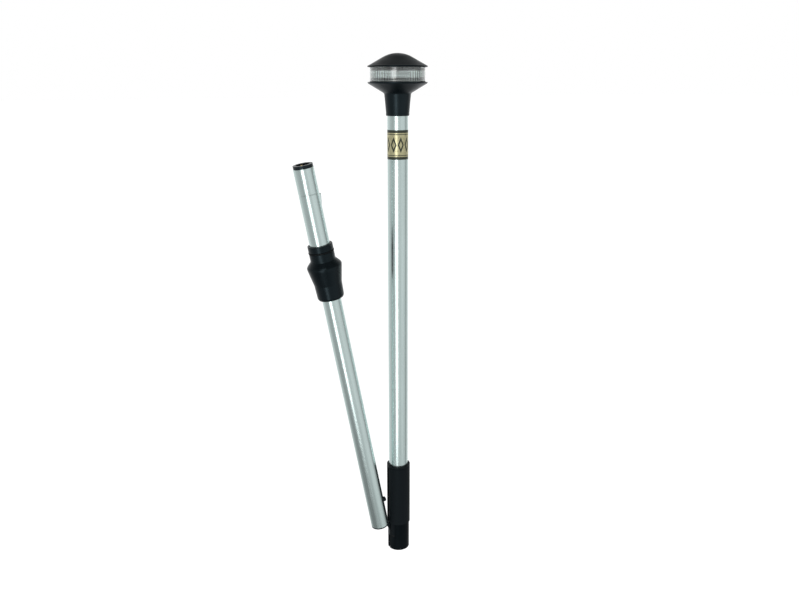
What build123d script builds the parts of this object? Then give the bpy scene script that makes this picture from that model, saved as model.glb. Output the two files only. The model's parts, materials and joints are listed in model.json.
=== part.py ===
"""Folding all-round navigation light: a plug-in pole light that folds in half at a pinned joint.

Millimetres. The upper pole stands along +Z with its light head at the top. The lower pole is drawn folded
up beside it, on the -X side, and turns about a pin that lies along Y. The origin is on the upper tube's
axis, at the middle of the light's folded height, where a stowage clip grips the bare tube.
"""

import os
from math import cos, radians, sin

from build123d import *

# ---- driving dimensions -------------------------------------------------------------------------------

# Heights on the upper pole are measured from the foot of the hinge knuckle.
clip_height = 330.0

tube_radius = 12.7
tube_wall = 1.25
tube_foot_height = 45.0
tube_top_height = 604.0

knuckle_radius = 14.5
pivot_height = 21.1
pivot_offset = 12.25
arm_width = 3.2
arm_play = 0.2
barrel_radius = 2.3
pin_radius = 1.25
pin_play = 0.05
slot_top_height = 39.7

flange_height = 122.6
flange_top_height = 125.6
ring_height = 46.5
ring_groove_depth = 0.8
ring_groove_width = 1.6
ring_squeeze = 0.05

sleeve_inner_radius = 14.8
sleeve_outer_radius = 15.55
sleeve_foot_height = 39.6
sleeve_top_height = 122.3
sleeve_slit_width = 4.0
sleeve_hole_radius = 3.65
sleeve_hole_height = 12.0

label_foot_height = 534.6
label_top_height = 569.8
foil_thickness = 0.12

neck_foot_height = 586.3
neck_top_height = 612.6
neck_foot_radius = 14.2
neck_top_radius = 16.2
head_radius = 36.0
head_deck_height = 625.8
lens_radius = 33.3
lens_wall = 2.4
lens_taper_height = 4.0
lens_taper = 0.9
lens_foot_height = 626.5
lens_top_height = 642.9
cap_rim_height = 644.1
cap_top_height = 659.0
cap_arc_radius = 36.0
cap_flank_angle = 29.5
cap_skirt_wall = 1.6
cap_skirt_depth = 3.0
cap_ceiling_radius = 10.0
skirt_play = 0.2
flange_edge = 1.5
gasket_overhang = 0.6
neck_chamfer = 0.7
junction_radius = 4.0

holder_radius = 9.5
holder_flange = 4.0
bulb_base_radius = 7.5
bulb_glass_radius = 9.0
bulb_neck_radius = 6.9
bulb_base_play = 0.1
bayonet_radius = 0.9
bayonet_slot = 2.4
bayonet_inset = 1.0
contact_spacing = 6.0
contact_radius = 1.2

# Distances on the lower pole are measured along it, from the tube's end at the hinge.
folded_angle = 10.95
lower_radius = 11.8
lower_wall = 1.2
end_setback = 23.1
end_gap = 0.3
lower_tube_length = 492.8

button_distance = 33.6
button_radius = 3.3
button_proud = 3.5
button_play = 0.15
button_flange_radius = 4.0

ferrule_radius = 12.4
ferrule_start = 344.8
ferrule_end = 497.4
crimp_distance = 466.3
crimp_depth = 0.25
crimp_floor = 0.7
crimp_mouth = 1.2
ferrule_chamfer = 0.4
key_start = 449.8
key_length = 14.0
key_width = 4.0
key_proud = 1.8
key_toe = 0.3
key_root = 1.0
key_corner = 1.2

plug_rim_radius = 11.9
plug_end = 501.3
recess_radius = 8.4
recess_depth = 3.0

collar_start = 334.8
collar_end = 403.8
nose_radius = 15.3
nose_start = 384.3
groove_distance = 395.1
groove_width = 2.2
groove_depth = 1.0
rim_radius = 21.35
rim_distance = 376.3
waist_radius = 17.3
waist_distance = 353.8
collar_foot_radius = 16.5
collar_bore_radius = 12.7
collar_lip_radius = 12.2

wire_radius = 0.9
wire_hole_radius = 1.1
wire_spacing = 8.4
wire_setback = 2.0

# ---- frames -------------------------------------------------------------------------------------------

foot = -clip_height
pivot_z = foot + pivot_height

lean = radians(folded_angle)
lower_direction = Vector(-sin(lean), 0, cos(lean))
inward = Vector(cos(lean), 0, sin(lean))
pivot = Vector(-pivot_offset, 0, pivot_z)
lower_origin = pivot - inward * pivot_offset + lower_direction * end_setback

# Across the lower tube at its hinge end: x points at the upper pole, z runs along the lower pole.
lower_end = Plane(origin=lower_origin, x_dir=inward, z_dir=lower_direction)
# Along the lower tube, in the fold plane: x points at the upper pole, y runs along the lower pole.
lower_side = Plane(origin=lower_origin, x_dir=inward, z_dir=(0, -1, 0))
lower_axis = Axis(origin=lower_origin, direction=lower_direction)
inward_axis = Axis(origin=lower_origin, direction=inward)

tube_bore = tube_radius - tube_wall
lower_bore = lower_radius - lower_wall


def height(above_foot):
    """A horizontal plane at a height above the foot."""
    return Plane.XY.offset(foot + above_foot)


def along(distance):
    """A plane across the lower pole at a distance from its hinge end."""
    return lower_end.offset(distance)


def upper_points(pairs):
    """Turns (radius, height above the foot) pairs into points on the XZ plane."""
    return [(radius, foot + above) for radius, above in pairs]


# ---- upper pole: light head ---------------------------------------------------------------------------

flank = radians(cap_flank_angle)
arc_end_radius = cap_arc_radius * sin(flank)
arc_end_height = cap_top_height - cap_arc_radius * (1 - cos(flank))
cap_skirt_outer = lens_radius - lens_wall - skirt_play
cap_skirt_inner = cap_skirt_outer - cap_skirt_wall
cap_hollow_height = lens_top_height + 5.0

with BuildPart() as top_cap:
    with BuildSketch(Plane.XZ):
        with BuildLine():
            TangentArc(
                (0, foot + cap_top_height), (arc_end_radius, foot + arc_end_height), tangent=(1, 0)
            )
            Polyline(
                *upper_points(
                    [
                        (arc_end_radius, arc_end_height),
                        (head_radius, cap_rim_height),
                        (head_radius, lens_top_height),
                        (cap_skirt_outer, lens_top_height),
                        (cap_skirt_outer, lens_top_height - cap_skirt_depth),
                        (cap_skirt_inner, lens_top_height - cap_skirt_depth),
                        (cap_skirt_inner, lens_top_height),
                        (cap_ceiling_radius, cap_hollow_height),
                        (0, cap_hollow_height),
                        (0, cap_top_height),
                    ]
                )
            )
        make_face()
    revolve(axis=Axis.Z)
top_cap.part.label = "top_cap"

with BuildPart() as lens:
    with BuildSketch(Plane.XZ):
        with BuildLine():
            Polyline(
                *upper_points(
                    [
                        (lens_radius - lens_wall, lens_foot_height),
                        (lens_radius, lens_foot_height),
                        (lens_radius, lens_top_height - lens_taper_height),
                        (lens_radius - lens_taper, lens_top_height),
                        (lens_radius - lens_wall, lens_top_height),
                    ]
                ),
                close=True,
            )
        make_face()
    revolve(axis=Axis.Z)
lens.part.label = "lens"

with BuildPart() as lens_gasket:
    with BuildSketch(height(head_deck_height)):
        Circle(lens_radius)
        Circle(lens_radius - lens_wall - gasket_overhang, mode=Mode.SUBTRACT)
    extrude(amount=lens_foot_height - head_deck_height)
lens_gasket.part.label = "lens_gasket"

with BuildPart() as head_base:
    with BuildSketch(Plane.XZ) as head_profile:
        with BuildLine():
            Polyline(
                *upper_points(
                    [
                        (tube_radius, neck_foot_height),
                        (neck_foot_radius, neck_foot_height),
                        (neck_top_radius, neck_top_height),
                        (head_radius, head_deck_height - flange_edge),
                        (head_radius, head_deck_height),
                        (holder_radius, head_deck_height),
                        (holder_radius, tube_top_height),
                        (tube_radius, tube_top_height),
                    ]
                ),
                close=True,
            )
        make_face()
        junction = head_profile.vertices().sort_by_distance((neck_top_radius, foot + neck_top_height))[0]
        fillet(junction, radius=junction_radius)
        neck_foot = head_profile.vertices().sort_by_distance((neck_foot_radius, foot + neck_foot_height))[0]
        chamfer(neck_foot, length=neck_chamfer)
    revolve(axis=Axis.Z)
head_base.part.label = "head_base"

holder_floor_height = tube_top_height + 5.0
holder_lip_height = head_deck_height + 1.5
bayonet_height = tube_top_height + 17.0

with BuildPart() as bulb_holder:
    with BuildSketch(height(tube_top_height)):
        Circle(holder_radius)
    extrude(amount=holder_lip_height - tube_top_height)
    with BuildSketch(height(head_deck_height)):
        Circle(holder_radius + holder_flange)
    extrude(amount=holder_lip_height - head_deck_height)
    with BuildSketch(height(holder_floor_height)):
        Circle(bulb_base_radius + bulb_base_play)
    extrude(amount=holder_lip_height - holder_floor_height, mode=Mode.SUBTRACT)
    with BuildSketch(height(bayonet_height - bayonet_slot / 2)):
        Rectangle(2 * holder_radius - bayonet_inset, bayonet_slot)
    extrude(amount=holder_lip_height - bayonet_height + bayonet_slot / 2, mode=Mode.SUBTRACT)
    with BuildSketch(height(tube_top_height)):
        with Locations((wire_setback, 0)):
            with GridLocations(0, wire_spacing, 1, 2):
                Circle(wire_hole_radius)
    extrude(amount=holder_floor_height - tube_top_height, mode=Mode.SUBTRACT)
bulb_holder.part.label = "bulb_holder"

bulb_foot_height = holder_floor_height + 2.0
glass_foot_height = head_deck_height - 0.4
glass_top_height = lens_top_height - 1.5

with BuildPart() as bulb_base:
    with BuildSketch(height(bulb_foot_height)):
        Circle(bulb_base_radius)
    extrude(amount=glass_foot_height - bulb_foot_height)
    with BuildSketch(Plane.YZ.offset(-holder_radius + bayonet_inset)):
        with Locations((0, foot + bayonet_height)):
            Circle(bayonet_radius)
    extrude(amount=2 * (holder_radius - bayonet_inset))
bulb_base.part.label = "bulb_base"

with BuildPart() as bulb_contacts:
    with BuildSketch(height(holder_floor_height)):
        with GridLocations(0, contact_spacing, 1, 2):
            Circle(contact_radius)
    extrude(amount=bulb_foot_height - holder_floor_height)
bulb_contacts.part.label = "bulb_contacts"

bulb_globe_height = glass_top_height - bulb_glass_radius
glass_wall = 0.8

with BuildPart() as bulb_glass:
    with BuildSketch(height(glass_foot_height)):
        Circle(bulb_neck_radius)
    extrude(amount=bulb_globe_height - glass_foot_height)
    with BuildSketch(Plane.XZ):
        with Locations((0, foot + bulb_globe_height)):
            Circle(bulb_glass_radius)
        with Locations((-bulb_glass_radius, foot + bulb_globe_height)):
            Rectangle(2 * bulb_glass_radius, 2 * bulb_glass_radius, mode=Mode.SUBTRACT)
    revolve(axis=Axis.Z)
    with BuildSketch(height(glass_foot_height)):
        Circle(bulb_neck_radius - glass_wall)
    extrude(amount=bulb_globe_height - glass_foot_height, mode=Mode.SUBTRACT)
    with BuildSketch(Plane.XZ):
        with Locations((0, foot + bulb_globe_height)):
            Circle(bulb_glass_radius - glass_wall)
        with Locations((-bulb_glass_radius, foot + bulb_globe_height)):
            Rectangle(2 * bulb_glass_radius, 2 * bulb_glass_radius, mode=Mode.SUBTRACT)
    revolve(axis=Axis.Z, mode=Mode.SUBTRACT)
    split(bisect_by=height(glass_foot_height), keep=Keep.TOP)
bulb_glass.part.label = "bulb_glass"

filament_height = glass_foot_height + 9.0
lead_spacing = 5.0
lead_radius = 0.3
coil_radius = 0.5
coil_overhang = 0.6

with BuildPart() as bulb_filament:
    with BuildSketch(height(glass_foot_height)):
        with GridLocations(0, lead_spacing, 1, 2):
            Circle(lead_radius)
    extrude(amount=filament_height - glass_foot_height)
    with BuildSketch(Plane.XZ.offset(-lead_spacing / 2 - coil_overhang)):
        with Locations((0, foot + filament_height)):
            Circle(coil_radius)
    extrude(amount=lead_spacing + 2 * coil_overhang)
bulb_filament.part.label = "bulb_filament"

# ---- upper pole: tube, label and wires ----------------------------------------------------------------

with BuildPart() as upper_tube:
    with BuildSketch(height(tube_foot_height)):
        Circle(tube_radius)
        Circle(tube_bore, mode=Mode.SUBTRACT)
    extrude(amount=tube_top_height - tube_foot_height)
upper_tube.part.label = "upper_tube"

with BuildPart() as foil_label:
    with BuildSketch(height(label_foot_height)):
        Circle(tube_radius + foil_thickness)
        Circle(tube_radius, mode=Mode.SUBTRACT)
    extrude(amount=label_top_height - label_foot_height)
foil_label.part.label = "foil_label"

with BuildPart() as upper_wires:
    with BuildSketch(height(0)):
        with Locations((wire_setback, 0)):
            with GridLocations(0, wire_spacing, 1, 2):
                Circle(wire_radius)
    extrude(amount=holder_floor_height)
upper_wires.part.label = "upper_wires"

# ---- upper pole: hinge knuckle ------------------------------------------------------------------------

# The arm turns in a slot that is open towards -X and at the foot, and deeper at the foot for the arm's root.
slot_barrel_gap = 0.55
slot_depth_x = -pivot_offset + barrel_radius + slot_barrel_gap
slot_root_x = slot_depth_x + 3.8
slot_root_height = 10.5
slot_mouth_x = -knuckle_radius - 1
knuckle_foot_radius = 1.2
pin_end_inset = 0.05

with BuildPart() as hinge_knuckle:
    with BuildSketch(height(0)):
        Circle(knuckle_radius)
    extrude(amount=flange_height)
    with BuildSketch(height(flange_height)):
        Circle(sleeve_outer_radius)
    extrude(amount=flange_top_height - flange_height)
    fillet(hinge_knuckle.edges().group_by(Axis.Z)[0], radius=knuckle_foot_radius)
    with BuildSketch(height(tube_foot_height)):
        Circle(tube_radius)
    extrude(amount=flange_top_height - tube_foot_height, mode=Mode.SUBTRACT)
    with BuildSketch(Plane.XZ.offset(-arm_width / 2 - arm_play)):
        with BuildLine():
            Polyline(
                *upper_points(
                    [
                        (slot_mouth_x, -1),
                        (slot_root_x, -1),
                        (slot_root_x, 0),
                        (slot_depth_x, slot_root_height),
                        (slot_depth_x, slot_top_height),
                        (slot_mouth_x, slot_top_height),
                    ]
                ),
                close=True,
            )
        make_face()
    extrude(amount=arm_width + 2 * arm_play, mode=Mode.SUBTRACT)
    with BuildSketch(Plane.XZ.offset(-knuckle_radius)):
        with Locations((-pivot_offset, pivot_z)):
            Circle(pin_radius)
    extrude(amount=2 * knuckle_radius, mode=Mode.SUBTRACT)
    with BuildSketch(height(0)):
        with Locations((wire_setback, 0)):
            with GridLocations(0, wire_spacing, 1, 2):
                Circle(wire_hole_radius)
    extrude(amount=tube_foot_height, mode=Mode.SUBTRACT)
    with BuildSketch(height(ring_height)):
        Circle(knuckle_radius)
        Circle(knuckle_radius - ring_groove_depth, mode=Mode.SUBTRACT)
    extrude(amount=ring_groove_width, mode=Mode.SUBTRACT)
hinge_knuckle.part.label = "hinge_knuckle"

# The pin's ends are dressed flush with the knuckle, so that the sleeve passes over them.
with BuildPart() as hinge_pin:
    with BuildSketch(Plane.XZ.offset(-knuckle_radius)):
        with Locations((-pivot_offset, pivot_z)):
            Circle(pin_radius)
    extrude(amount=2 * knuckle_radius)
    with BuildSketch(height(0)):
        Circle(knuckle_radius - pin_end_inset)
    extrude(amount=tube_foot_height, mode=Mode.INTERSECT)
hinge_pin.part.label = "hinge_pin"

with BuildPart() as knuckle_ring:
    with BuildSketch(height(ring_height)):
        Circle(sleeve_inner_radius - ring_squeeze)
        Circle(knuckle_radius - ring_groove_depth, mode=Mode.SUBTRACT)
    extrude(amount=ring_groove_width)
knuckle_ring.part.label = "knuckle_ring"

# ---- lock sleeve --------------------------------------------------------------------------------------

# The sleeve is slit along its whole length, so that it passes the hinge's arm. When it locks the
# straightened pole, it has slid down until its hole stands at the snap button.
sleeve_length = sleeve_top_height - sleeve_foot_height

with BuildPart() as lock_sleeve:
    with BuildSketch(height(sleeve_foot_height)):
        Circle(sleeve_outer_radius)
        Circle(sleeve_inner_radius, mode=Mode.SUBTRACT)
    extrude(amount=sleeve_length)
    with BuildSketch(Plane.YZ.offset(-2 * sleeve_outer_radius)):
        with Locations((0, foot + sleeve_foot_height)):
            Rectangle(sleeve_slit_width, sleeve_length, align=(Align.CENTER, Align.MIN))
        with Locations((0, foot + sleeve_foot_height + sleeve_hole_height)):
            Circle(sleeve_hole_radius)
    extrude(amount=2 * sleeve_outer_radius, mode=Mode.SUBTRACT)
lock_sleeve.part.label = "lock_sleeve"

# ---- lower pole: tube and hinge end -------------------------------------------------------------------

with BuildPart() as lower_tube:
    with BuildSketch(along(0)):
        Circle(lower_radius)
        Circle(lower_bore, mode=Mode.SUBTRACT)
    extrude(amount=lower_tube_length)
    with BuildSketch(Plane(lower_origin + lower_direction * button_distance, z_dir=inward)):
        Circle(button_radius + button_play)
    extrude(amount=2 * lower_radius, mode=Mode.SUBTRACT)
lower_tube.part.label = "lower_tube"

insert_depth = 22.0
cap_thickness = end_setback - pivot_height - end_gap

# Points on the arm, measured across from the pin (towards the lower tube) and along from the pin. The arm
# runs a little way into the end cap, so that the two are one piece.
arm_root = end_setback - cap_thickness + 0.1
arm_flank = barrel_radius - 0.2
arm_points = [
    (-arm_flank, 0),
    (-arm_flank + 0.1, 13.5),
    (1.0, arm_root - 1.2),
    (1.2, arm_root),
    (5.5, arm_root),
    (1.5, 11.0),
    (1.2, 4.0),
    (arm_flank, 0),
]

with BuildPart() as hinge_end:
    with BuildSketch(along(-cap_thickness)):
        Circle(lower_radius)
    extrude(amount=cap_thickness)
    with BuildSketch(along(0)):
        Circle(lower_bore)
    extrude(amount=insert_depth)
    # The arm: a thin plate from the end cap to the barrel round the pin.
    with BuildSketch(lower_side.offset(-arm_width / 2)):
        with Locations((pivot_offset, -end_setback)):
            Circle(barrel_radius)
        with BuildLine():
            Polyline(
                *[(pivot_offset - across, away - end_setback) for across, away in arm_points],
                close=True,
            )
        make_face()
    extrude(amount=arm_width)
    with BuildSketch(lower_side.offset(-arm_width)):
        with Locations((pivot_offset, -end_setback)):
            Circle(pin_radius + pin_play)
    extrude(amount=2 * arm_width, mode=Mode.SUBTRACT)
    with BuildSketch(along(-cap_thickness)):
        with Locations((-wire_setback, 0)):
            with GridLocations(0, wire_spacing, 1, 2):
                Circle(wire_hole_radius)
    extrude(amount=cap_thickness + insert_depth, mode=Mode.SUBTRACT)
hinge_end.part.label = "hinge_end"

# ---- lower pole: snap button and its spring -----------------------------------------------------------

button_shoulder = 9.1
button_foot = 7.7
button_dome = 1.4
button_plane = Plane(lower_origin + lower_direction * button_distance, z_dir=inward)

with BuildPart() as snap_button:
    with BuildSketch(button_plane.offset(button_foot)):
        Circle(button_flange_radius)
    extrude(amount=button_shoulder - button_foot)
    with BuildSketch(button_plane.offset(button_shoulder)):
        Circle(button_radius)
    extrude(amount=lower_radius + button_proud - button_shoulder)
    fillet(snap_button.edges().group_by(inward_axis)[-1], radius=button_dome)
snap_button.part.label = "snap_button"

spring_thickness = 0.5
spring_width = 5.0
spring_gap = 0.1
spring_start = button_distance - 6.0
spring_knee = button_distance + 8.0
spring_bend = button_distance + 34.0
spring_top = button_foot - spring_gap
spring_bottom = -lower_bore + 0.9
spring_heel = spring_bottom + 3.0

with BuildPart() as button_spring:
    with BuildSketch(lower_side.offset(-spring_width / 2)) as spring_profile:
        with BuildLine():
            Polyline(
                (spring_top, spring_start),
                (spring_top, spring_knee),
                (spring_heel, spring_bend),
                (spring_bottom, spring_bend),
                (spring_bottom, spring_start),
                (spring_bottom + spring_thickness, spring_start),
                (spring_bottom + spring_thickness, spring_bend - spring_thickness),
                (spring_heel - spring_thickness, spring_bend - spring_thickness),
                (spring_top - spring_thickness, spring_knee - spring_thickness),
                (spring_top - spring_thickness, spring_start),
                close=True,
            )
        make_face()
    extrude(amount=spring_width)
button_spring.part.label = "button_spring"

# ---- lower pole: plug ---------------------------------------------------------------------------------

with BuildPart() as plug_ferrule:
    with BuildSketch(lower_side):
        with BuildLine():
            Polyline(
                (lower_radius, ferrule_start),
                (ferrule_radius, ferrule_start),
                (ferrule_radius, crimp_distance - crimp_mouth / 2),
                (ferrule_radius - crimp_depth, crimp_distance - crimp_floor / 2),
                (ferrule_radius - crimp_depth, crimp_distance + crimp_floor / 2),
                (ferrule_radius, crimp_distance + crimp_mouth / 2),
                (ferrule_radius, ferrule_end - ferrule_chamfer),
                (ferrule_radius - ferrule_chamfer, ferrule_end),
                (lower_radius, ferrule_end),
                close=True,
            )
        make_face()
    revolve(axis=lower_axis)
plug_ferrule.part.label = "plug_ferrule"

# The key is a wedge that stands proudest at the plug's free end.
with BuildPart() as plug_key:
    with BuildSketch(lower_side.offset(-key_width / 2)):
        with BuildLine():
            Polyline(
                (ferrule_radius - key_root, key_start),
                (ferrule_radius + key_toe, key_start),
                (ferrule_radius + key_proud, key_start + key_length),
                (ferrule_radius - key_root, key_start + key_length),
                close=True,
            )
        make_face()
    extrude(amount=key_width)
    with BuildSketch(along(key_start)):
        Circle(ferrule_radius)
    extrude(amount=key_length, mode=Mode.SUBTRACT)
    fillet(plug_key.edges().filter_by(inward_axis), radius=key_corner)
plug_key.part.label = "plug_key"

plug_body_start = 469.8
plug_contact_radius = 1.5
plug_contact_start = plug_body_start + 12.0
plug_contact_end = plug_end - recess_depth + 1.8
plug_contact_nose = 0.6

with BuildPart() as plug_body:
    with BuildSketch(along(plug_body_start)):
        Circle(lower_bore)
    extrude(amount=lower_tube_length - plug_body_start)
    with BuildSketch(along(lower_tube_length)):
        Circle(lower_radius)
    extrude(amount=ferrule_end - lower_tube_length)
    with BuildSketch(along(ferrule_end)):
        Circle(plug_rim_radius)
    extrude(amount=plug_end - ferrule_end)
    with BuildSketch(along(plug_end - recess_depth)):
        Circle(recess_radius)
    extrude(amount=recess_depth, mode=Mode.SUBTRACT)
    with BuildSketch(along(plug_body_start)):
        with GridLocations(0, wire_spacing, 1, 2):
            Circle(plug_contact_radius)
    extrude(amount=plug_end - plug_body_start, mode=Mode.SUBTRACT)
plug_body.part.label = "plug_body"

with BuildPart() as plug_contacts:
    with BuildSketch(along(plug_contact_start)):
        with GridLocations(0, wire_spacing, 1, 2):
            Circle(plug_contact_radius)
    extrude(amount=plug_contact_end - plug_contact_start)
    fillet(plug_contacts.edges().group_by(lower_axis)[-1], radius=plug_contact_nose)
plug_contacts.part.label = "plug_contacts"

with BuildPart() as lower_wires:
    with BuildSketch(along(-cap_thickness)):
        with Locations((-wire_setback, 0)):
            with GridLocations(0, wire_spacing, 1, 2):
                Circle(wire_radius)
    extrude(amount=cap_thickness + plug_body_start)
lower_wires.part.label = "lower_wires"

# ---- locking collar -----------------------------------------------------------------------------------

lip_start = collar_start + 5.0
lip_end = ferrule_start - 0.4
pocket_radius = collar_lip_radius + 1.5
retainer_width = 1.2
retainer_section = 1.3
retainer_gap = 0.4
nose_chamfer = 0.6
waist_sweep = 30.0

with BuildPart() as collar_retainer:
    with BuildSketch(along(lip_start - retainer_gap - retainer_width)):
        Circle(lower_radius + retainer_section)
        Circle(lower_radius, mode=Mode.SUBTRACT)
    extrude(amount=retainer_width)
collar_retainer.part.label = "collar_retainer"

with BuildPart() as lock_collar:
    with BuildSketch(lower_side) as collar_profile:
        with BuildLine():
            Polyline(
                (pocket_radius, collar_start),
                (collar_foot_radius - 1.2, collar_start),
                (collar_foot_radius, collar_start + 2.5),
                (waist_radius, waist_distance),
                (rim_radius, rim_distance - 2),
                (rim_radius, rim_distance + 1),
                (rim_radius - 1, rim_distance + 2.5),
                (nose_radius, nose_start),
                (nose_radius, groove_distance - groove_width / 2),
                (nose_radius - groove_depth, groove_distance - groove_width / 2),
                (nose_radius - groove_depth, groove_distance + groove_width / 2),
                (nose_radius, groove_distance + groove_width / 2),
                (nose_radius, collar_end - nose_chamfer),
                (nose_radius - nose_chamfer, collar_end),
                (collar_bore_radius, collar_end),
                (collar_bore_radius, lip_end),
                (collar_lip_radius, lip_end),
                (collar_lip_radius, lip_start),
                (pocket_radius, lip_start),
                close=True,
            )
        make_face()
        waist = collar_profile.vertices().sort_by_distance((waist_radius, waist_distance))[0]
        fillet(waist, radius=waist_sweep)
    revolve(axis=lower_axis)
lock_collar.part.label = "lock_collar"

seal_radius = 0.72

with BuildPart() as collar_seal:
    with BuildSketch(lower_side):
        with Locations((nose_radius - groove_depth + seal_radius, groove_distance)):
            Circle(seal_radius)
    revolve(axis=lower_axis)
collar_seal.part.label = "collar_seal"

# ---- export -------------------------------------------------------------------------------------------

pieces = [
    top_cap, lens, lens_gasket, head_base, bulb_holder, bulb_base, bulb_contacts, bulb_glass, bulb_filament,
    upper_tube, foil_label, upper_wires, hinge_knuckle, hinge_pin, knuckle_ring, lock_sleeve,
    lower_tube, hinge_end, snap_button, button_spring,
    plug_ferrule, plug_key, plug_body, plug_contacts, lower_wires,
    collar_retainer, lock_collar, collar_seal,
]  # fmt: skip

os.makedirs("parts", exist_ok=True)
for piece in pieces:
    export_step(piece.part, f"parts/{piece.part.label}.step")
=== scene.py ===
"""Looks of the folding navigation light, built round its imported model. Metres."""

import json
from math import atan2, cos, pi, radians, sin, tan

import bmesh
import bpy
from mathutils import Matrix, Vector


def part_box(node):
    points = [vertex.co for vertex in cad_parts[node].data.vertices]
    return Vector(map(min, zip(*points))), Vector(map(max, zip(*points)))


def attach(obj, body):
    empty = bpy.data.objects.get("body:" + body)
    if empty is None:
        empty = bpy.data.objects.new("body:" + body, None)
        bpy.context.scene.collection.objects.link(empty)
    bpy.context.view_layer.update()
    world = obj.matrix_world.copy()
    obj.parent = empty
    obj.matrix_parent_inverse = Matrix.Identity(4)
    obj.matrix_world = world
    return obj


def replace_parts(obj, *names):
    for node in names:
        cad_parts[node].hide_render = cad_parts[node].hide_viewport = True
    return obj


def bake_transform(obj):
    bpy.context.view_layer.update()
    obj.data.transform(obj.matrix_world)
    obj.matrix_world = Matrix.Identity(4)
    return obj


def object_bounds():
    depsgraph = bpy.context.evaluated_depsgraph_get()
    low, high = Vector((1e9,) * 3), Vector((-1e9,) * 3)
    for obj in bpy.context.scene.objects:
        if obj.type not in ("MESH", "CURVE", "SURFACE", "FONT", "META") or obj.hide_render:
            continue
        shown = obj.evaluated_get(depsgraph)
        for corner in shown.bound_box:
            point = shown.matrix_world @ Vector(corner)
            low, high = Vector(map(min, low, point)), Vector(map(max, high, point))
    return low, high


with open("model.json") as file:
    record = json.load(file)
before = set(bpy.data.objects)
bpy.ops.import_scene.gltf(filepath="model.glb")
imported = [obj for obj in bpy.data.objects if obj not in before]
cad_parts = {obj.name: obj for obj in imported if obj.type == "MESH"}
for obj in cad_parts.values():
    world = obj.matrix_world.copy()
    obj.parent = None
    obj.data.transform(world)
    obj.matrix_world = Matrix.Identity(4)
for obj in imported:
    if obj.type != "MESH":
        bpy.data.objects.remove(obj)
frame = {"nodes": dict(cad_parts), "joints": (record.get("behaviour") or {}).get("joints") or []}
cad_low, cad_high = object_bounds()
joints = {joint["name"]: joint for joint in frame["joints"]}

MM = 0.001
TURNS = 144  # facets round a turned piece
NEAR_AXIS = 0.01 * MM  # the radius used at the axis, where a face would otherwise have no area
MERGE = 1e-7  # vertices closer than this are one
SHARP = radians(40)  # a made piece's edges stay hard above this angle
KEPT_SHARP = radians(32)  # and a CAD node's above this
NOISE_ROUGHNESS = 0.55

# ---- the two poles' axes ------------------------------------------------------------------------------

UPPER = (Vector((0, 0, 0)), Vector((0, 0, 1)))
LOWER = (Vector(joints["collar_spin"]["pos_m"]), Vector(joints["collar_spin"]["axis"]).normalized())


def lean(pole):
    """The pole's angle from upright, in the plane that both poles lie in."""
    return atan2(-pole[1].x, pole[1].z)


def pole_matrix(pole):
    """Takes pole coordinates, with z along the pole, to the row frame."""
    return Matrix.Translation(pole[0]) @ Matrix.Rotation(-lean(pole), 4, "Y")


def reach(node, pole):
    """The lowest and highest distance along a pole, and the largest radius round it, of a CAD node."""
    origin, direction = pole
    ends = []
    radii = []
    for vertex in frame["nodes"][node].data.vertices:
        offset = vertex.co - origin
        distance = offset.dot(direction)
        ends.append(distance)
        radii.append((offset - direction * distance).length)
    return min(ends), max(ends), max(radii)


# ---- mesh helpers -------------------------------------------------------------------------------------


def rounded(corners, steps=5):
    """Rounds an outline's corners. Each corner is (radius, height, size of its rounding)."""
    longest_share = 0.45
    straight = pi - 0.02
    least_slope = 0.05
    points = []
    for i, (x, z, size) in enumerate(corners):
        here = Vector((x, z))
        before = Vector(corners[i - 1][:2]) - here
        after = Vector(corners[(i + 1) % len(corners)][:2]) - here
        turn = before.angle(after)
        if size <= 0 or turn > straight:
            points.append(here)
            continue
        wanted = size / max(least_slope, tan(turn / 2))
        setback = min(wanted, longest_share * min(before.length, after.length))
        start = here + before.normalized() * setback
        end = here + after.normalized() * setback
        for step in range(steps + 1):
            t = step / steps
            points.append(start * (1 - t) ** 2 + here * 2 * t * (1 - t) + end * t**2)
    return points


def shade(mesh, material, sharp):
    """Gives a mesh one material, and smooth shading with its hard edges kept."""
    mesh.materials.clear()
    mesh.materials.append(material)
    mesh.shade_smooth()
    mesh.set_sharp_from_angle(angle=sharp)


def show(name, data):
    """Puts new data in the scene as an object."""
    piece = bpy.data.objects.new(name, data)
    bpy.context.scene.collection.objects.link(piece)
    return piece


def finish_mesh(name, mesh_data, material, body, nodes):
    """Turns a bmesh into a smooth-shaded piece that rides on a body and stands for CAD nodes."""
    bmesh.ops.remove_doubles(mesh_data, verts=mesh_data.verts, dist=MERGE)
    bmesh.ops.recalc_face_normals(mesh_data, faces=mesh_data.faces)
    mesh = bpy.data.meshes.new(name)
    mesh_data.to_mesh(mesh)
    mesh_data.free()
    shade(mesh, material, SHARP)
    piece = show(name, mesh)
    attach(piece, body)
    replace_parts(piece, *nodes)
    return piece


def turned(name, corners, pole, material, body, slot, nodes, turns=TURNS, wave=None, steps=5):
    """A piece turned round a pole: a closed outline of (radius, distance, rounding), swept a full turn."""
    outline = rounded(corners, steps)
    place = pole_matrix(pole)
    mesh_data = bmesh.new()
    rings = []
    for i in range(turns):
        angle = 2 * pi * i / turns
        ring = []
        for point in outline:
            radius = point.x + (wave(point, angle) if wave else 0)
            spot = Vector((radius * cos(angle), radius * sin(angle), point.y))
            ring.append(mesh_data.verts.new(place @ spot))
        rings.append(ring)
    for i in range(turns):
        ring = rings[i]
        following = rings[(i + 1) % turns]
        for j in range(len(outline)):
            k = (j + 1) % len(outline)
            mesh_data.faces.new((ring[j], ring[k], following[k], following[j]))
    bmesh.ops.dissolve_degenerate(mesh_data, dist=MERGE, edges=mesh_data.edges)
    return finish_mesh(name, mesh_data, material, body, nodes)


# ---- shader node helpers ------------------------------------------------------------------------------


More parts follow.
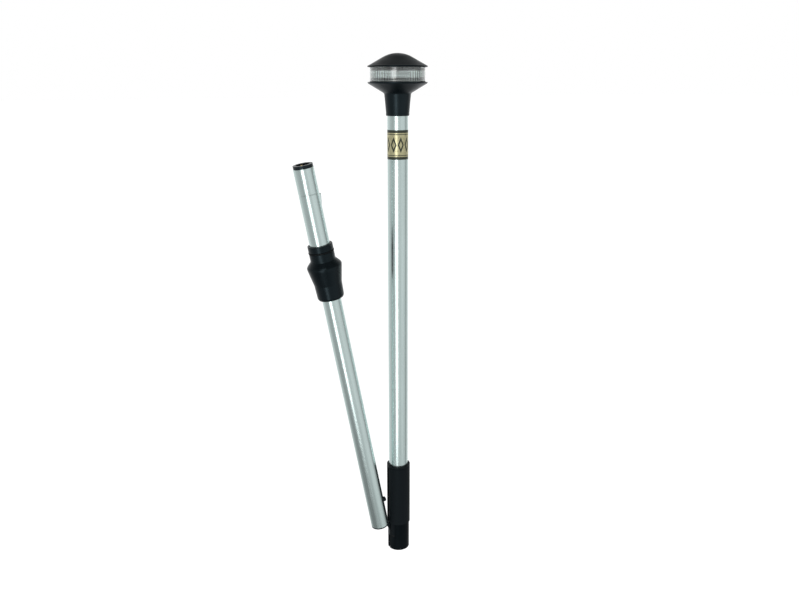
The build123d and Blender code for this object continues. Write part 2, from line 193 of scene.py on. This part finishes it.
def add_node(tree, kind, **settings):
    made = tree.nodes.new(kind)
    for key, value in settings.items():
        setattr(made, key, value)
    return made


def feed(tree, socket, value):
    """Sets a socket to a number or a colour, or links it to another node's output."""
    if isinstance(value, tuple):
        socket.default_value = (*value, 1)
    elif isinstance(value, (int, float)):
        socket.default_value = value
    else:
        tree.links.new(value, socket)


def add_math(tree, operation, *values):
    made = add_node(tree, "ShaderNodeMath", operation=operation)
    for socket, value in zip(made.inputs, values):
        feed(tree, socket, value)
    return made.outputs[0]


class Maker:
    """Builds one material, lined up with a pole: a Principled shader and the nodes that feed it."""

    def __init__(self, name, pole=UPPER):
        self.material = bpy.data.materials.new(name)
        self.material.use_nodes = True
        self.tree = self.material.node_tree
        self.shader = self.tree.nodes["Principled BSDF"]
        coordinates = add_node(self.tree, "ShaderNodeTexCoord")
        mapping = add_node(self.tree, "ShaderNodeMapping", vector_type="TEXTURE")
        mapping.inputs["Location"].default_value = pole[0]
        mapping.inputs["Rotation"].default_value = (0, -lean(pole), 0)
        self.tree.links.new(coordinates.outputs["Object"], mapping.inputs["Vector"])
        self.place = mapping.outputs["Vector"]

    def link(self, source, target):
        self.tree.links.new(source, target)

    def stretch(self, scale):
        mapping = add_node(self.tree, "ShaderNodeMapping")
        mapping.inputs["Scale"].default_value = scale
        self.link(self.place, mapping.inputs["Vector"])
        return mapping.outputs["Vector"]

    def noise(self, scale, detail, along=(1, 1, 1)):
        """Noise at a scale per metre. A small last number in along draws it out along the pole."""
        made = add_node(self.tree, "ShaderNodeTexNoise")
        made.inputs["Scale"].default_value = scale
        made.inputs["Detail"].default_value = detail
        made.inputs["Roughness"].default_value = NOISE_ROUGHNESS
        self.link(self.stretch(along), made.inputs["Vector"])
        return made.outputs["Fac"]

    def math(self, operation, *values):
        return add_math(self.tree, operation, *values)

    def spread(self, factor, low, high, source=(0.3, 0.7)):
        """Maps a value's source range, by default the middle of a noise, to low and high."""
        made = add_node(self.tree, "ShaderNodeMapRange")
        made.inputs["From Min"].default_value = source[0]
        made.inputs["From Max"].default_value = source[1]
        made.inputs["To Min"].default_value = low
        made.inputs["To Max"].default_value = high
        self.link(factor, made.inputs["Value"])
        return made.outputs["Result"]

    def mix(self, factor, first, second):
        made = add_node(self.tree, "ShaderNodeMix", data_type="RGBA")
        for name, value in (("Factor", factor), ("A", first), ("B", second)):
            feed(self.tree, made.inputs[name], value)
        return made.outputs["Result"]

    def drift(self, noise, first, second):
        """A colour that drifts between two with a noise."""
        return self.mix(self.spread(noise, 0, 1), first, second)

    def bump(self, height, strength, distance):
        made = add_node(self.tree, "ShaderNodeBump")
        made.inputs["Strength"].default_value = strength
        made.inputs["Distance"].default_value = distance
        self.link(height, made.inputs["Height"])
        self.link(made.outputs["Normal"], self.shader.inputs["Normal"])

    def colour(self, value):
        self.link(value, self.shader.inputs["Base Color"])

    def rough(self, *layers):
        """Roughness as a sum of layers, each a noise and the lowest and highest value it gives."""
        total = self.spread(*layers[0])
        for layer in layers[1:]:
            total = self.math("ADD", total, self.spread(*layer))
        self.link(total, self.shader.inputs["Roughness"])

    def set(self, **values):
        for key, value in values.items():
            self.shader.inputs[key.replace("_", " ")].default_value = value


# ---- materials ----------------------------------------------------------------------------------------


def black_moulding(name, pole=UPPER, roughness=0.31, gloss=0.32):
    """Satin black moulded nylon: fine eroded grain, faint flow clouding, slightly greyed edges."""
    make = Maker(name, pole)
    cloud = make.noise(45, 5)
    fine = make.noise(2600, 3)
    smear = make.noise(140, 4, along=(1, 1, 0.25))
    base = make.drift(cloud, (0.0006, 0.0014, 0.0020), (0.0016, 0.0028, 0.0038))
    geometry = add_node(make.tree, "ShaderNodeNewGeometry")
    edge = make.spread(geometry.outputs["Pointiness"], 0, 0.5, source=(0.52, 0.62))
    make.colour(make.mix(edge, base, (0.012, 0.015, 0.017)))
    make.rough((smear, roughness - 0.05, roughness + 0.07), (fine, -0.03, 0.03))
    make.bump(fine, strength=0.22, distance=0.06 * MM)
    make.set(Specular_IOR_Level=gloss, Specular_Tint=(0.64, 0.89, 1.0, 1.0))
    return make.material


def drawn_aluminium(name, pole=UPPER, roughness=0.23):
    """Clear-anodised drawn tube: lengthwise die lines, a soft cool tint and a few handling marks."""
    make = Maker(name, pole)
    lines = make.noise(900, 3, along=(1, 1, 0.012))
    broad = make.noise(120, 3, along=(1, 1, 0.03))
    marks = make.noise(60, 6, along=(1, 1, 0.6))
    tint = make.drift(broad, (0.635, 0.755, 0.74), (0.715, 0.84, 0.825))
    marked = make.spread(marks, 0, 0.35, source=(0.62, 0.78))
    make.colour(make.mix(marked, tint, (0.54, 0.63, 0.62)))
    make.rough((lines, roughness - 0.04, roughness + 0.05), (marks, -0.02, 0.04))
    make.bump(lines, strength=0.10, distance=0.05 * MM)
    make.set(Metallic=1.0)
    return make.material


def clear_lens(name):
    """Clear polycarbonate with a faint green-grey tint, mould haze and fine scuffs."""
    make = Maker(name)
    haze = make.noise(70, 5)
    scuff = make.noise(900, 4, along=(1, 1, 3))
    make.colour(make.drift(haze, (0.53, 0.60, 0.585), (0.64, 0.70, 0.685)))
    make.rough((haze, 0.02, 0.06), (scuff, 0, 0.03))
    make.bump(scuff, strength=0.05, distance=0.03 * MM)
    make.set(IOR=1.49, Transmission_Weight=1.0, Coat_Weight=1.0, Coat_IOR=2.0, Coat_Roughness=0.24)
    return make.material


def thin_glass(name):
    """The bulb's clear glass, with a faint metallised bloom."""
    make = Maker(name)
    bloom = make.noise(120, 4)
    make.colour(make.drift(bloom, (0.93, 0.95, 0.95), (1.0, 1.0, 1.0)))
    make.rough((bloom, 0.01, 0.06))
    make.set(IOR=1.47, Transmission_Weight=0.9)
    return make.material


def gold_foil(name, low, high, radius):
    """Gold foil label: dark edge bands, thin rules and a row of plain lozenges, on lightly rubbed foil."""
    lozenges = 9
    edge_place = 0.405
    rule_place = 0.355
    rule_half_width = 0.012
    lozenge_slope = 0.62
    outer_half_height = 0.27
    inner_half_height = 0.14
    foil_metallic = 0.85
    ink_metallic = 0.15
    ink_thickness = 0.6
    make = Maker(name)
    parts = add_node(make.tree, "ShaderNodeSeparateXYZ")
    make.link(make.place, parts.inputs["Vector"])
    height = make.math("DIVIDE", make.math("SUBTRACT", parts.outputs["Z"], low), high - low)
    turn = make.math("MULTIPLY", make.math("ARCTAN2", parts.outputs["Y"], parts.outputs["X"]), radius)
    across = make.math("ABSOLUTE", make.math("SUBTRACT", height, 0.5))
    edge = make.math("GREATER_THAN", across, edge_place)
    rule = make.math("COMPARE", across, rule_place, rule_half_width)
    cell = make.math("FRACT", make.math("DIVIDE", turn, 2 * pi * radius / lozenges))
    along = make.math("ABSOLUTE", make.math("SUBTRACT", cell, 0.5))
    lozenge = make.math("ADD", make.math("MULTIPLY", along, lozenge_slope), across)
    outer = make.math("LESS_THAN", lozenge, outer_half_height)
    inner = make.math("LESS_THAN", lozenge, inner_half_height)
    outline = make.math("SUBTRACT", outer, inner)
    dark = make.math("MINIMUM", make.math("ADD", make.math("ADD", edge, rule), outline), 1)
    rub = make.noise(260, 5)
    crease = make.noise(900, 3, along=(1, 1, 0.2))
    gold = make.drift(rub, (0.42, 0.40, 0.23), (0.62, 0.58, 0.36))
    ink = make.drift(rub, (0.012, 0.016, 0.010), (0.030, 0.040, 0.024))
    make.colour(make.mix(dark, gold, ink))
    loss = make.math("MULTIPLY", dark, foil_metallic - ink_metallic)
    metal = make.math("SUBTRACT", foil_metallic, loss)
    make.link(metal, make.shader.inputs["Metallic"])
    make.rough((crease, 0.24, 0.40))
    relief = make.math("ADD", crease, make.math("MULTIPLY", dark, ink_thickness))
    make.bump(relief, strength=0.15, distance=0.04 * MM)
    return make.material


def bright_metal(name, low, high, pole=UPPER, roughness=0.25):
    """A turned or drawn bright metal with lengthwise lines and a tarnish that lies in patches."""
    make = Maker(name, pole)
    lines = make.noise(1200, 3, along=(1, 1, 0.08))
    patch = make.noise(300, 5)
    make.colour(make.drift(patch, low, high))
    make.rough((lines, roughness - 0.06, roughness + 0.08), (patch, -0.03, 0.05))
    make.bump(lines, strength=0.12, distance=0.03 * MM)
    make.set(Metallic=1.0)
    return make.material


def soft_matt(name, low, high, roughness, pole=UPPER, grain=1500, gloss=0.5):
    """Rubber, moulded insulator or wire cover: fine grain, dust and small shade changes."""
    make = Maker(name, pole)
    dust = make.noise(200, 5)
    fine = make.noise(grain, 3)
    make.colour(make.drift(dust, low, high))
    make.rough((dust, roughness - 0.06, roughness + 0.06), (fine, -0.03, 0.03))
    make.bump(fine, strength=0.25, distance=0.05 * MM)
    make.set(Specular_IOR_Level=gloss)
    return make.material


moulding = black_moulding("moulding_upper")
moulding_cap = black_moulding("moulding_cap", roughness=0.37, gloss=0.17)
moulding_sleeve = black_moulding("moulding_sleeve", roughness=0.46, gloss=0.05)
moulding_lower = black_moulding("moulding_lower", LOWER, roughness=0.27, gloss=0.25)
moulding_knuckle = black_moulding("moulding_knuckle", roughness=0.40, gloss=0.06)
aluminium = drawn_aluminium("aluminium_upper")
aluminium_lower = drawn_aluminium("aluminium_lower", LOWER)
ferrule_metal = drawn_aluminium("aluminium_ferrule", LOWER, roughness=0.16)
lens_plastic = clear_lens("lens_plastic")
bulb_clear = thin_glass("bulb_clear")
rubber = soft_matt("black_rubber", (0.003, 0.004, 0.005), (0.007, 0.009, 0.010), 0.62, gloss=0.15)
black_steel = bright_metal("black_steel", (0.02, 0.021, 0.022), (0.04, 0.041, 0.042), roughness=0.4)
steel = bright_metal("stainless", (0.50, 0.50, 0.49), (0.68, 0.68, 0.67), LOWER)
brass = bright_metal("brass", (0.58, 0.42, 0.18), (0.80, 0.63, 0.32))
tungsten = bright_metal("tungsten", (0.26, 0.26, 0.28), (0.40, 0.40, 0.42))
insulator = soft_matt("insulator", (0.50, 0.48, 0.43), (0.66, 0.64, 0.58), 0.55)
wire_cover = soft_matt("wire_cover", (0.02, 0.02, 0.022), (0.05, 0.05, 0.052), 0.35, grain=500)

# ---- light head ---------------------------------------------------------------------------------------

cap_low, cap_top, head_radius = reach("top_cap", UPPER)
lens_low, lens_top, lens_radius = reach("lens", UPPER)
base_low, deck = reach("head_base", UPPER)[:2]
tube_low, tube_top, tube_radius = reach("upper_tube", UPPER)

lens_wall = 2.4 * MM
cap_rim = lens_top + 1.2 * MM


def dome(steps=26, arc_radius=36 * MM, flank=radians(29.5)):
    """The cap's outside, from its centre towards its rim, as an arc. A straight flank follows it."""
    corners = []
    for step in range(steps + 1):
        angle = flank * step / steps
        corners.append((max(arc_radius * sin(angle), NEAR_AXIS), cap_top - arc_radius * (1 - cos(angle)), 0))
    return corners


def make_cap():
    """The domed cap: a rebate over the lens, a skirt inside it, and a hollow above the bulb."""
    skirt = lens_radius - lens_wall - 0.2 * MM
    skirt_inside = skirt - 1.6 * MM
    rebate_depth = 0.5 * MM
    rebate_inside = lens_radius + 0.1 * MM
    rebate_outside = lens_radius + 0.7 * MM
    hollow_radius = 10 * MM
    hollow_top = lens_top + 5 * MM
    corners = [
        *dome(),
        (head_radius - 2.2 * MM, cap_rim + 1.25 * MM, 0.8 * MM),
        (head_radius - 0.25 * MM, cap_rim + 0.35 * MM, 0.5 * MM),
        (head_radius, cap_rim - 0.15 * MM, 0.25 * MM),
        (head_radius - 0.1 * MM, lens_top, 0.2 * MM),
        (rebate_outside, lens_top, 0.1 * MM),
        (rebate_outside, lens_top + rebate_depth, 0.1 * MM),
        (rebate_inside, lens_top + rebate_depth, 0.1 * MM),
        (rebate_inside, lens_top, 0.1 * MM),
        (skirt, lens_top, 0.1 * MM),
        (skirt, cap_low, 0.4 * MM),
        (skirt_inside, cap_low, 0.4 * MM),
        (skirt_inside, lens_top, 0.3 * MM),
        (hollow_radius, hollow_top, 1 * MM),
        (NEAR_AXIS, hollow_top, 0),
    ]
    return turned("cap_shell", corners, UPPER, moulding_cap, "upper_pole", "black_plastic", ["top_cap"])


def make_lens():
    """A clear belt between stepped prism rings outside, and light-spreading upright flutes inside."""
    rings = 3
    depth = 0.45 * MM
    pitch = 1.25 * MM
    ramp_height = pitch - 0.05 * MM
    foot = lens_low + 0.5 * MM
    top = lens_top - 0.6 * MM
    inner = lens_radius - lens_wall
    belt = lens_radius - 0.1 * MM
    corners = [(inner, lens_low, 0.1 * MM), (lens_radius, lens_low, 0.2 * MM)]
    for ring in range(rings):
        low = foot + ring * pitch
        corners += [(lens_radius, low, 0), (lens_radius - depth, low + ramp_height, 0)]
    corners += [(belt, (foot + rings * pitch + top) / 2, 6 * MM)]
    for ring in range(rings):
        high = top + (ring - rings + 1) * pitch
        corners += [(lens_radius - depth, high - ramp_height, 0), (lens_radius, high, 0)]
    corners += [
        (belt, top + 0.2 * MM, 0.1 * MM),
        (lens_radius - 0.3 * MM, lens_top, 0.2 * MM),
        (inner, lens_top, 0.1 * MM),
    ]
    flutes = 60
    flute_height = 0.6 * MM
    inner_limit = inner + 0.05 * MM

    def flute(point, angle):
        if point.x > inner_limit:
            return 0
        return flute_height * (1 + cos(flutes * angle)) / 2

    look = (lens_plastic, "upper_pole", "lens_clear")
    return turned("lens_band", corners, UPPER, *look, ["lens"], turns=10 * flutes, wave=flute, steps=3)


def make_head_base():
    """The tapered neck and its flange, with a groove in the deck that the lens stands in."""
    bore = tube_radius + 0.02 * MM
    neck_foot = 14.2 * MM
    neck_top = 16.2 * MM
    shoulder = deck - 13.2 * MM
    groove_outside = lens_radius + 0.6 * MM
    groove_inside = lens_radius + 0.05 * MM
    groove_floor = deck - 0.4 * MM
    wire_hole = 9.5 * MM
    corners = [
        (bore, base_low, 0.1 * MM),
        (neck_foot - 0.5 * MM, base_low, 0.3 * MM),
        (neck_foot, base_low + 0.6 * MM, 0.4 * MM),
        (neck_foot + 0.12 * MM, base_low + 2.6 * MM, 0.2 * MM),
        (neck_foot - 0.05 * MM, base_low + 2.9 * MM, 0.1 * MM),
        (neck_top, shoulder, 3.2 * MM),
        (head_radius - 0.5 * MM, deck - 1.8 * MM, 0.6 * MM),
        (head_radius, deck - 0.9 * MM, 0.35 * MM),
        (head_radius - 0.15 * MM, deck, 0.25 * MM),
        (groove_outside, deck, 0.15 * MM),
        (groove_outside, groove_floor, 0.1 * MM),
        (groove_inside, groove_floor, 0.1 * MM),
        (groove_inside, deck, 0.1 * MM),
        (wire_hole, deck, 0.1 * MM),
        (wire_hole, tube_top, 0.1 * MM),
        (bore, tube_top, 0.1 * MM),
    ]
    return turned("head_base_shell", corners, UPPER, moulding, "upper_pole", "black_plastic", ["head_base"])


def make_upper_tube():
    """The upper pole's drawn tube, with its edges broken."""
    bore = tube_radius - 1.25 * MM
    corners = [
        (bore, tube_low, 0.15 * MM),
        (tube_radius, tube_low, 0.25 * MM),
        (tube_radius, tube_top, 0.25 * MM),
        (bore, tube_top, 0.15 * MM),
    ]
    look = (aluminium, "upper_pole", "aluminium_tube")
    return turned("upper_tube_drawn", corners, UPPER, *look, ["upper_tube"])


def make_label():
    """The foil label, wrapped right round the upper tube."""
    low, high, radius = reach("foil_label", UPPER)
    underside = tube_radius + 0.005 * MM
    material = gold_foil("gold_foil", low, high, radius)
    corners = [
        (underside, low, 0),
        (radius, low, 0.04 * MM),
        (radius, high, 0.04 * MM),
        (underside, high, 0),
    ]
    return turned("foil_wrap", corners, UPPER, material, "upper_pole", "gold_foil", ["foil_label"])


def make_bulb_glass():
    """A round bulb blown from its neck, with an even wall."""
    low, high, radius = reach("bulb_glass", UPPER)
    centre = high - radius
    neck = 6.9 * MM
    wall = 0.7 * MM
    steps = 22
    lowest = -radians(46)
    outside = []
    inside = []
    for step in range(steps + 1):
        angle = lowest + (pi / 2 - lowest) * step / steps
        for surface, size in ((outside, radius), (inside, radius - wall)):
            surface.append((max(size * cos(angle), NEAR_AXIS), centre + size * sin(angle), 0))
    corners = [
        (neck - wall, low, 0),
        (neck, low, 0.1 * MM),
        (neck, low + 0.6 * MM, 0.3 * MM),
        *outside,
        *reversed(inside),
    ]
    look = (bulb_clear, "upper_pole", "bulb_glass")
    return turned("bulb_envelope", corners, UPPER, *look, ["bulb_glass"], turns=96)


def make_filament():
    """A coiled filament between two bent leads, as one tube along a path."""
    low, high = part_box("bulb_filament")
    half = (high.y - low.y) / 2 - 0.9 * MM
    lead_top = high.z - 1.2 * MM
    coil_height = high.z - 0.6 * MM
    coil_radius = 0.35 * MM
    turns = 9
    steps = turns * 12
    path = [(0, -half, low.z), (0, -half, lead_top)]
    for step in range(steps + 1):
        share = step / steps
        angle = 2 * pi * turns * share
        across = half * (2 * share - 1)
        path.append((coil_radius * cos(angle), across, coil_height + coil_radius * sin(angle)))
    path += [(0, half, lead_top), (0, half, low.z)]
    curve = bpy.data.curves.new("filament_coil", "CURVE")
    curve.dimensions = "3D"
    curve.bevel_depth = 0.11 * MM
    curve.bevel_resolution = 3
    spline = curve.splines.new("POLY")
    spline.points.add(len(path) - 1)
    for point, place in zip(spline.points, path):
        point.co = (*place, 1)
    curve.materials.append(tungsten)
    piece = show("filament_coil", curve)
    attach(piece, "upper_pole")
    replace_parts(piece, "bulb_filament")
    return piece


make_cap()
make_lens()
make_head_base()
make_label()
make_bulb_glass()
make_filament()
make_upper_tube()

# ---- lower pole ---------------------------------------------------------------------------------------

ferrule_low, ferrule_high, ferrule_radius = reach("plug_ferrule", LOWER)
collar_low, collar_high, rim_radius = reach("lock_collar", LOWER)


def make_ferrule():
    """The plug's bare metal sleeve, with a crimped groove round it."""
    bore = 11.8 * MM
    crimp = ferrule_high - 31.1 * MM
    crimp_radius = ferrule_radius - 0.25 * MM
    crimp_foot = 0.3 * MM
    crimp_mouth = 0.7 * MM
    corners = [
        (bore, ferrule_low, 0.1 * MM),
        (ferrule_radius, ferrule_low, 0.2 * MM),
        (ferrule_radius, crimp - crimp_mouth, 0.25 * MM),
        (crimp_radius, crimp - crimp_foot, 0.2 * MM),
        (crimp_radius, crimp + crimp_foot, 0.2 * MM),
        (ferrule_radius, crimp + crimp_mouth, 0.25 * MM),
        (ferrule_radius, ferrule_high - 0.1 * MM, 0.35 * MM),
        (ferrule_radius - 0.35 * MM, ferrule_high, 0.15 * MM),
        (bore, ferrule_high, 0.1 * MM),
    ]
    look = (ferrule_metal, "lower_pole", "aluminium_tube")
    return turned("ferrule_sleeve", corners, LOWER, *look, ["plug_ferrule"])


def make_collar():
    """The flared collar, hollow over the ferrule, with a plain nose and its seal groove."""
    nose = 15.3 * MM
    nose_foot = collar_high - 19.5 * MM
    nose_tip = nose - 0.6 * MM
    groove = collar_high - 8.7 * MM
    groove_radius = nose - 1.0 * MM
    groove_half = 1.1 * MM
    rim = collar_low + 41.5 * MM
    waist = collar_low + 19 * MM
    mouth_bore = 13.7 * MM
    mouth_top = collar_low + 5 * MM
    lip_bore = 12.2 * MM
    lip_top = ferrule_low - 0.4 * MM
    bore = 12.7 * MM
    corners = [
        (mouth_bore, collar_low, 0.3 * MM),
        (15.5 * MM, collar_low, 0.6 * MM),
        (16.45 * MM, collar_low + 2.2 * MM, 1.2 * MM),
        (17.1 * MM, waist, 9 * MM),
        (rim_radius - 0.2 * MM, rim - 2.4 * MM, 1.2 * MM),
        (rim_radius, rim - 0.6 * MM, 0.5 * MM),
        (rim_radius, rim + 0.7 * MM, 0.5 * MM),
        (rim_radius - 1.1 * MM, rim + 2.5 * MM, 0.8 * MM),
        (nose + 0.4 * MM, nose_foot - 0.4 * MM, 0.9 * MM),
        (nose, nose_foot + 1.2 * MM, 0.5 * MM),
        (nose, groove - groove_half, 0.15 * MM),
        (groove_radius, groove - groove_half, 0.15 * MM),
        (groove_radius, groove + groove_half, 0.15 * MM),
        (nose, groove + groove_half, 0.15 * MM),
        (nose, collar_high - 0.5 * MM, 0.4 * MM),
        (nose_tip, collar_high, 0.3 * MM),
        (bore, collar_high, 0.2 * MM),
        (bore, lip_top, 0.1 * MM),
        (lip_bore, lip_top, 0.1 * MM),
        (lip_bore, mouth_top, 0.1 * MM),
        (mouth_bore, mouth_top, 0.1 * MM),
    ]
    look = (moulding_lower, "lock_collar", "black_plastic")
    return turned("collar_shell", corners, LOWER, *look, ["lock_collar"], steps=8)


make_ferrule()
make_collar()

# ---- materials on the CAD nodes that stay -------------------------------------------------------------

KEPT = {
    "lens_gasket": rubber,
    "bulb_holder": insulator,
    "bulb_base": brass,
    "bulb_contacts": brass,
    "upper_wires": wire_cover,
    "hinge_knuckle": moulding_knuckle,
    "hinge_pin": black_steel,
    "knuckle_ring": rubber,
    "lock_sleeve": moulding_sleeve,
    "lower_tube": aluminium_lower,
    "hinge_end": moulding_lower,
    "snap_button": moulding_lower,
    "plug_key": ferrule_metal,
    "plug_body": moulding_lower,
    "plug_contacts": brass,
    "lower_wires": wire_cover,
    "collar_retainer": steel,
    "collar_seal": rubber,
}
for node_name, material in KEPT.items():
    shade(frame["nodes"][node_name].data, material, KEPT_SHARP)


def make_spring():
    """The hairpin spring, copied from its CAD node in stainless steel; one leg bears on the tube's far wall,
    the other on the button.
    """
    mesh = frame["nodes"]["button_spring"].data.copy()
    shade(mesh, steel, KEPT_SHARP)
    piece = show("leaf_spring", mesh)
    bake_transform(piece)
    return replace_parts(piece, "button_spring")


make_spring()

# ---- floor, light and camera --------------------------------------------------------------------------

FLOOR_SIZE = 60
FLOOR_DROP = 0.58
FLOOR_GREY = 0.85
FLOOR_GLOW = 0.75
VIEW_AZIMUTH = radians(-27)
VIEW_ELEVATION = radians(15.19)
VIEW_ROLL = radians(-0.09)
VIEW_DISTANCE = 1.0
VIEW_LENS = 36.11
SENSOR_WIDTH = 36
AIM = Vector((-0.01165, -0.02695, 0.0332))
FRONT = atan2(-cos(VIEW_AZIMUTH), sin(VIEW_AZIMUTH))  # the bearing of the camera from the object

SOFTBOX_DISTANCE = 1.2
SOFTBOX_LEFT = radians(15)
SOFTBOX_HALF_ANGLE = radians(9.5)
SOFTBOX_BELOW = 0.53
SOFTBOX_ABOVE = 0.9
SOFTBOX_RADIANCE = 2.6

# Degrees round from the front, rising to the camera's right, and the brightness there.
AROUND = [
    (-180, 0.95), (-150, 0.92), (-112, 0.70), (-84, 0.52), (-44, 0.44), (-26, 0.56), (-12, 0.60),
    (6, 0.68), (22, 0.60), (44, 0.74), (78, 0.66), (104, 0.32), (130, 0.80), (180, 0.95),
]  # fmt: skip
COOL = 1.01  # green and blue as a share of red

# The height of the direction, from -1 underfoot to 1 overhead, and the share of that brightness there.
UPWARD = [(-1, 0.35), (-0.70, 0.42), (-0.50, 1.0), (0.25, 1.0), (0.65, 0.50), (1, 0.40)]


def make_floor():
    """A pale floor, low enough that the lower pole can swing down to straight above it."""
    size = FLOOR_SIZE
    z = cad_low.z - FLOOR_DROP
    corners = [(-size, -size, z), (size, -size, z), (size, size, z), (-size, size, z)]
    floor_mesh = bpy.data.meshes.new("floor")
    floor_mesh.from_pydata(corners, [], [(0, 1, 2, 3)])
    floor = show("floor", floor_mesh)
    material = bpy.data.materials.new("floor_paint")
    material.use_nodes = True
    shader = material.node_tree.nodes["Principled BSDF"]
    shader.inputs["Base Color"].default_value = (FLOOR_GREY, FLOOR_GREY, FLOOR_GREY, 1)
    shader.inputs["Roughness"].default_value = 0.9
    shader.inputs["Emission Color"].default_value = (1, 1, 1, 1)
    shader.inputs["Emission Strength"].default_value = FLOOR_GLOW
    floor_mesh.materials.append(material)
    floor.visible_glossy = False
    floor.visible_shadow = False


def add_ramp(tree, factor, stops, cool=1.0, interpolation="LINEAR"):
    """A grey ramp through stops of (position, brightness)."""
    made = add_node(tree, "ShaderNodeValToRGB")
    made.color_ramp.interpolation = interpolation
    elements = made.color_ramp.elements
    while len(elements) < len(stops):
        elements.new(0.5)
    for element, (position, brightness) in zip(elements, stops):
        element.position = position
        element.color = (brightness, brightness * cool, brightness * cool, 1)
    tree.links.new(factor, made.inputs["Fac"])
    return made.outputs["Color"]


def make_world():
    """White to the camera. To the object, a soft studio: grey flanks, a bright back, dim above and below."""
    world = bpy.data.worlds.new("studio")
    bpy.context.scene.world = world
    world.use_nodes = True
    tree = world.node_tree
    tree.nodes.clear()
    coordinates = add_node(tree, "ShaderNodeTexCoord")
    parts = add_node(tree, "ShaderNodeSeparateXYZ")
    tree.links.new(coordinates.outputs["Generated"], parts.inputs["Vector"])

    bearing = add_math(tree, "ARCTAN2", parts.outputs["Y"], parts.outputs["X"])
    turns = add_math(tree, "DIVIDE", add_math(tree, "SUBTRACT", bearing, FRONT), 2 * pi)
    centred = add_math(tree, "FRACT", add_math(tree, "ADD", turns, 1.5))
    stops = [((degrees + 180) / 360, brightness) for degrees, brightness in AROUND]
    level = add_ramp(tree, centred, stops, COOL, "EASE")

    rise = add_math(tree, "MULTIPLY_ADD", parts.outputs["Z"], 0.5, 0.5)
    share = add_ramp(tree, rise, [((height + 1) / 2, brightness) for height, brightness in UPWARD])

    product = add_node(tree, "ShaderNodeMix", data_type="RGBA", blend_type="MULTIPLY")
    for name, value in (("Factor", 1), ("A", level), ("B", share)):
        feed(tree, product.inputs[name], value)
    studio = add_node(tree, "ShaderNodeBackground")
    tree.links.new(product.outputs["Result"], studio.inputs["Color"])
    white = add_node(tree, "ShaderNodeBackground")
    white.inputs["Color"].default_value = (1, 1, 1, 1)

    path = add_node(tree, "ShaderNodeLightPath")
    mix = add_node(tree, "ShaderNodeMixShader")
    output = add_node(tree, "ShaderNodeOutputWorld")
    tree.links.new(path.outputs["Is Camera Ray"], mix.inputs["Fac"])
    tree.links.new(studio.outputs["Background"], mix.inputs[1])
    tree.links.new(white.outputs["Background"], mix.inputs[2])
    tree.links.new(mix.outputs["Shader"], output.inputs["Surface"])


def make_softbox():
    """A tall softbox a little to the left of the view, that also lights the poles from low down."""
    low = cad_low.z - SOFTBOX_BELOW
    high = cad_high.z + SOFTBOX_ABOVE
    bearing = FRONT - SOFTBOX_LEFT
    data = bpy.data.lights.new("softbox", "AREA")
    data.shape = "RECTANGLE"
    data.size = 2 * SOFTBOX_DISTANCE * tan(SOFTBOX_HALF_ANGLE)
    data.size_y = high - low
    data.energy = SOFTBOX_RADIANCE * pi * data.size * data.size_y
    softbox = show("softbox", data)
    softbox.location = (SOFTBOX_DISTANCE * cos(bearing), SOFTBOX_DISTANCE * sin(bearing), (high + low) / 2)
    softbox.rotation_euler = (pi / 2, 0, bearing + pi / 2)
    softbox.visible_camera = False


def make_camera():
    """The camera at the viewing angle, level but for a trace of roll."""
    level = cos(VIEW_ELEVATION)
    back = Vector((sin(VIEW_AZIMUTH) * level, -cos(VIEW_AZIMUTH) * level, sin(VIEW_ELEVATION)))
    data = bpy.data.cameras.new("camera")
    data.sensor_width = SENSOR_WIDTH
    data.lens = VIEW_LENS
    data.clip_start = 0.01
    data.clip_end = 200
    camera = show("camera", data)
    camera.location = AIM + back * VIEW_DISTANCE
    turn = back.to_track_quat("Z", "Y").to_matrix() @ Matrix.Rotation(VIEW_ROLL, 3, "Z")
    camera.rotation_euler = turn.to_euler()
    bpy.context.scene.camera = camera


make_floor()
make_world()
make_softbox()
make_camera()
bpy.context.scene.view_settings.view_transform = "Standard"
